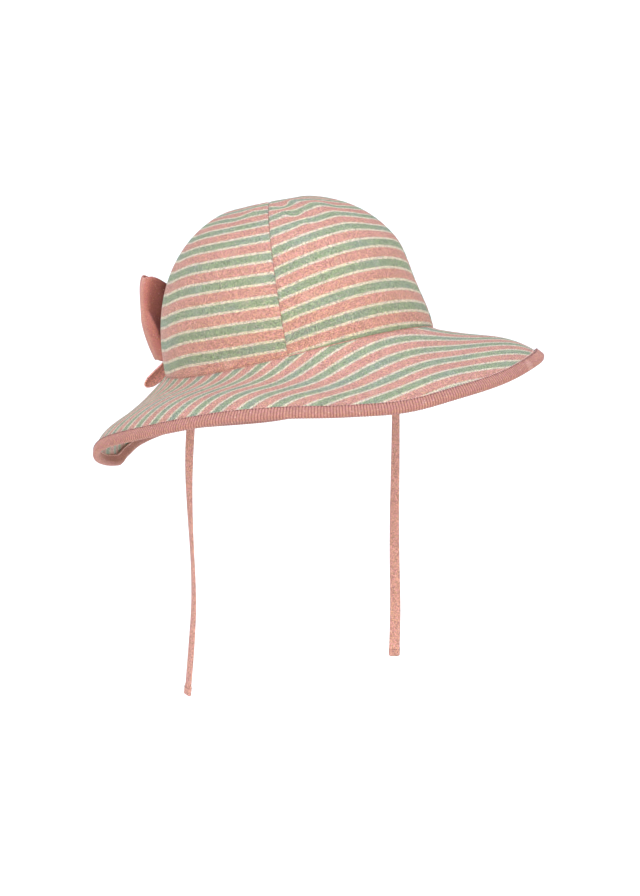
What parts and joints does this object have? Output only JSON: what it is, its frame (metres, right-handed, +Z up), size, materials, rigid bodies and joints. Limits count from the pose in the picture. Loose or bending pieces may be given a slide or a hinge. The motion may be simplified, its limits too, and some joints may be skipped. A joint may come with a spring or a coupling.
{
  "type": "toddler swim hat with ties",
  "caption": "Striped knit swim hat with a round panelled crown, a wide wavy bound brim, a bow at the back and two narrow hanging ties, held as worn.",
  "frame": {"origin": "middle of the head opening, where the hat sits on a head", "axes": "+Z up, front of the hat towards -Y, wearer's right towards -X"},
  "size_m": [0.2686, 0.2623, 0.2956],
  "materials": {
    "striped_knit": "fine striped glitter knit, salmon pink and sage green with cream lines",
    "pink_knit": "plain salmon pink glitter knit"
  },
  "bodies": {
    "root": {"crown_front": "striped_knit", "crown_right": "striped_knit", "crown_back": "striped_knit", "crown_left": "striped_knit", "brim": "striped_knit", "brim_binding": "pink_knit", "bow_knot": "pink_knit", "bow_loop_right": "pink_knit", "bow_loop_left": "pink_knit", "bow_tail_right": "pink_knit", "bow_tail_left": "pink_knit", "tie_right": "pink_knit", "tie_left": "pink_knit"}
  },
  "joints": []
}
